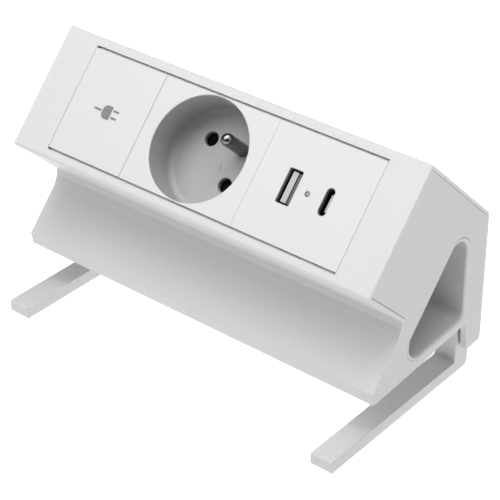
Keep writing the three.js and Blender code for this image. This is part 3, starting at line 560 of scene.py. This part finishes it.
# raised alternating-current sign on the socket's floor, in place of the moulded rating; it takes the recess's darker
# copy of the white, painted shade
bm = bmesh.new()
pts = []
for i in range(33):
    t = i / 32
    pts.append(Vector((-1.6 + 3.2 * t, 0.62 * math.sin(2 * math.pi * t))))
ring_a, ring_b = [], []
for i, p in enumerate(pts):
    d = (pts[min(i + 1, 32)] - pts[max(i - 1, 0)]).normalized()
    nrm = Vector((-d.y, d.x)) * 0.16
    ring_a.append(p + nrm)
    ring_b.append(p - nrm)
wave = [(p.x, p.y) for p in ring_a + ring_b[::-1]]
bm.free()
turn = Matrix.Translation((SOCKET_C + 1.6, -1.2, 0)) @ Matrix.Rotation(math.radians(-45), 4, "Z")
piece("alternating_current_sign", moved(prism(wave, -14.93, -14.72, "Z"), turn), "housing", MAT["well"], bevel=0.04, segments=2, where=FACE)

# USB plate
usb = plate(20.04, 63.93)
usb = cut(usb, prism(rect(31.45, 37.1, -6.4, 6.4, 0.6), -5, 2, "Z"), prism(rect(47.85, 51.15, -5.0, 5.0, 1.62), -5, 2, "Z"), prism(circle(41.65, 0, 1.0, 40), -5, 2, "Z"))
skirt = cut(prism(rect(23.6, 60.1, -15.6, 15.6, 1), -9, -3.5, "Z"), prism(rect(24.8, 58.9, -14.4, 14.4, 0.5), -10, -3.0, "Z"))
usb = join(usb, skirt)
piece("usb_module", tidy(usb), "housing", MAT["module"], "usb_insert", bevel=0.03, segments=2, where=FACE)


def tube(cx, w, h, r, t, z0, z1):
    return cut(prism(rect(cx - w / 2, cx + w / 2, -h / 2, h / 2, r), z0, z1, "Z"),
               prism(rect(cx - w / 2 + t, cx + w / 2 - t, -h / 2 + t, h / 2 - t, max(0.1, r - t)), z0 + 1, z1 + 1, "Z"))


def deep(z):
    """Faces that lie below z."""
    return lambda p: p.z < z


# each can is drawn black below its mouth: painted shade inside the port, the real can is steel
for port, cx, w, h, r, t, node in (("usb_a", 34.28, 5.5, 12.65, 0.55, 0.2, "usb_a_shell"), ("usb_c", 49.5, 3.15, 9.85, 1.5, 0.15, "usb_c_shell")):
    piece(port + "_can", tidy(tube(cx, w, h, r, t, -14.7, -1.7)), "housing", MAT["black"], node, where=FACE)
    mouth_ring = cut(prism(rect(cx - w / 2, cx + w / 2, -h / 2, h / 2, r), -1.7, -0.35, "Z"),
                     prism(rect(cx - w / 2 + t, cx + w / 2 - t, -h / 2 + t, h / 2 - t, max(0.1, r - t)), -3, 1, "Z"))
    # the mouth ring is drawn dark grey: painted shade on the steel shell
    piece(port + "_mouth", tidy(mouth_ring), "housing", MAT["port"], where=FACE, bevel=0.05, segments=2)
tongue = join(prism(rect(32.75, 34.95, -5.6, 5.6, 0.1), -13.2, -1.1, "Z"), prism(rect(34.5, 36.6, -5.6, 5.6, 0.1), -13.2, -1.7, "Z"))
# the USB-A tongue turns dark grey below 1.2 mm: painted shade deeper in the port
piece("usb_a_board", tidy(tongue), "housing", MAT["tongue"], "usb_a_tongue", bevel=0.05, segments=2, where=FACE,
      second=(MAT["port"], deep(-1.2)))
# the USB-C tongue turns black below 2.3 mm: painted shade deeper in the port
piece("usb_c_board", prism(rect(49.2, 50.0, -3.2, 3.2, 0.3), -13.2, -2.1, "Z"), "housing", MAT["tongue"], "usb_c_tongue", bevel=0.05, segments=2, where=FACE,
      second=(MAT["black"], deep(-2.3)))
piece("indicator_lens", lathe([(0, -14.4), (1.6, -14.4), (1.6, -12.6), (0.8, -12.6), (0.8, -0.4), (0.72, -0.25), (0.55, -0.15), (0, -0.1)], 41.65, 0, 40), "housing", MAT["pipe"], "led_light_pipe", where=FACE)

# generic plug pictogram printed on the blank plate
def glyph(points, name, z=0.0):
    return prism(points, -0.06, -0.02 + z, "Z")


cx, cy = -45.6, -0.5
parts = [
    rounded([(cx - 3.6, cy - 2.6, 1.9), (cx + 0.4, cy - 2.6, 0.3), (cx + 0.4, cy + 2.6, 0.3), (cx - 3.6, cy + 2.6, 1.9)], 10),
    rect(cx + 0.9, cx + 3.6, cy + 0.9, cy + 1.75, 0.35),
    rect(cx + 0.9, cx + 3.6, cy - 1.75, cy - 0.9, 0.35),
    rect(cx - 7.4, cx - 4.0, cy - 0.42, cy + 0.42, 0.2),
]
for i, p in enumerate(parts):
    piece(f"plug_sign_{i + 1}", glyph(p, "g"), "housing", MAT["ink"], where=FACE)

# ------------------------------------------------------------------ cable gland
gx, gy = GLAND
dome = [(6.5, -43.3), (8.0, -43.3), (8.0, -48.0)]
dome += [(8.0 - 4.4 * (1 - math.cos(t * math.pi / 16)), -48.0 - 3.4 * math.sin(t * math.pi / 16)) for t in range(1, 9)]
dome += [(3.6, -49.2), (6.5, -48.4), (6.5, -43.3)]
nut = lathe(dome, gx, gy, 72)
grips = [prism(circle(gx + 8.35 * math.cos(math.pi * k / 6), gy + 8.35 * math.sin(math.pi * k / 6), 0.75, 16), -47.6, -43.0, "Z") for k in range(12)]
piece("gland_nut", tidy(cut(nut, *grips)), "housing", MAT["dark"], "gland_dome_nut", where=FACE, sharp=35)
piece("gland_bush", lathe([(4.2, -36.0), (5.9, -36.0), (5.9, -40.5), (8.2, -40.5), (8.2, -42.8), (8.0, -43.0), (6.2, -43.0), (6.2, -48.0), (4.2, -48.0), (4.2, -36.0)], gx, gy, 72), "housing", MAT["dark"], "gland_body", where=FACE)
piece("gland_ring", lathe([(2.9, -44.0), (3.95, -44.0), (3.95, -48.4), (3.75, -48.6), (3.1, -48.6), (2.9, -48.4), (2.9, -44.0)], gx, gy, 64), "housing", MAT["rubber"], "gland_seal", where=FACE)

# pads under the housing
for side, x0, x1 in (("left", -60, -12), ("right", 12, 60)):
    piece(f"pad_{side}", prism(rect(x0, x1, 37.4, 55.4, 2.0), -1.1, -0.25, "Z"), "housing", MAT["rubber"], f"desk_pad_{side}", bevel=0.15, segments=2)

# ------------------------------------------------------------------ floor, light, camera
def emission(name, color, strength):
    m = bpy.data.materials.new(name)
    m.use_nodes = True
    nt = m.node_tree
    nt.nodes.clear()
    e = nt.nodes.new("ShaderNodeEmission")
    e.inputs["Color"].default_value = (*color, 1)
    e.inputs["Strength"].default_value = strength
    o = nt.nodes.new("ShaderNodeOutputMaterial")
    nt.links.new(e.outputs[0], o.inputs["Surface"])
    return m


bm = bmesh.new()
bmesh.ops.create_grid(bm, x_segments=8, y_segments=8, size=3.0)
floor_me = bpy.data.meshes.new("floor")
bm.to_mesh(floor_me)
bm.free()
floor = bpy.data.objects.new("floor", floor_me)
bpy.context.scene.collection.objects.link(floor)
floor.location.z = -0.027                            # clear of the brackets at the bottom of their travel
floor.data.materials.append(emission("floor_white", (1, 1, 1), 1.39))

scene = bpy.context.scene
w = bpy.data.worlds.new("studio")
scene.world = w
w.use_nodes = True
wt = w.node_tree
bg = wt.nodes["Background"]
bg.inputs["Color"].default_value = (1, 1, 1, 1)
path = wt.nodes.new("ShaderNodeLightPath")           # the backdrop is white, and lights nothing itself
wt.links.new(path.outputs["Is Camera Ray"], bg.inputs["Strength"])


def area(name, direction, size, power, distance=1.2):
    d = Vector(direction).normalized()
    l = bpy.data.lights.new(name, "AREA")
    l.shape = "DISK"
    l.size = size
    l.energy = power
    o = bpy.data.objects.new(name, l)
    target = Vector((0, 0, 0.05))
    o.location = target + d * distance
    o.rotation_mode = "QUATERNION"
    o.rotation_quaternion = (-d).to_track_quat("-Z", "Y")
    scene.collection.objects.link(o)
    return o


area("key_top", (0, 0, 1), 1.0, 10.1)
area("key_left", (-0.5, -0.8, 1.2), 1.0, 7.4)
area("top_front", (0, -0.45, 1), 1.0, 1.7)
area("right_high", (1, 0, 1), 1.0, 2.4)
area("right_low", (1, 0, 0.18), 1.0, 1.8)

scene.view_settings.view_transform = "Standard"
scene.view_settings.look = "None"
scene.view_settings.exposure = 0.0
scene.view_settings.gamma = 1.0

AZ, EL, ROLL = math.radians(38.9), math.radians(34.76), math.radians(-0.70)
fwd = Vector((-math.sin(AZ) * math.cos(EL), math.cos(AZ) * math.cos(EL), -math.sin(EL)))
right = Vector((math.cos(AZ), math.sin(AZ), 0))
up = right.cross(fwd)
r2 = right * math.cos(ROLL) + up * math.sin(ROLL)
u2 = -right * math.sin(ROLL) + up * math.cos(ROLL)
cam = bpy.data.cameras.new("camera")
cam.sensor_fit = "HORIZONTAL"
cam.sensor_width = 36.0
cam.lens = 1776.5 * 36.0 / 500.0
cam.clip_start, cam.clip_end = 0.05, 20
camera = bpy.data.objects.new("camera", cam)
scene.collection.objects.link(camera)
rot = Matrix((r2, u2, -fwd)).transposed()
camera.matrix_world = Matrix.Translation(world((335.17, -382.35, 381.59))) @ rot.to_4x4()
scene.camera = camera
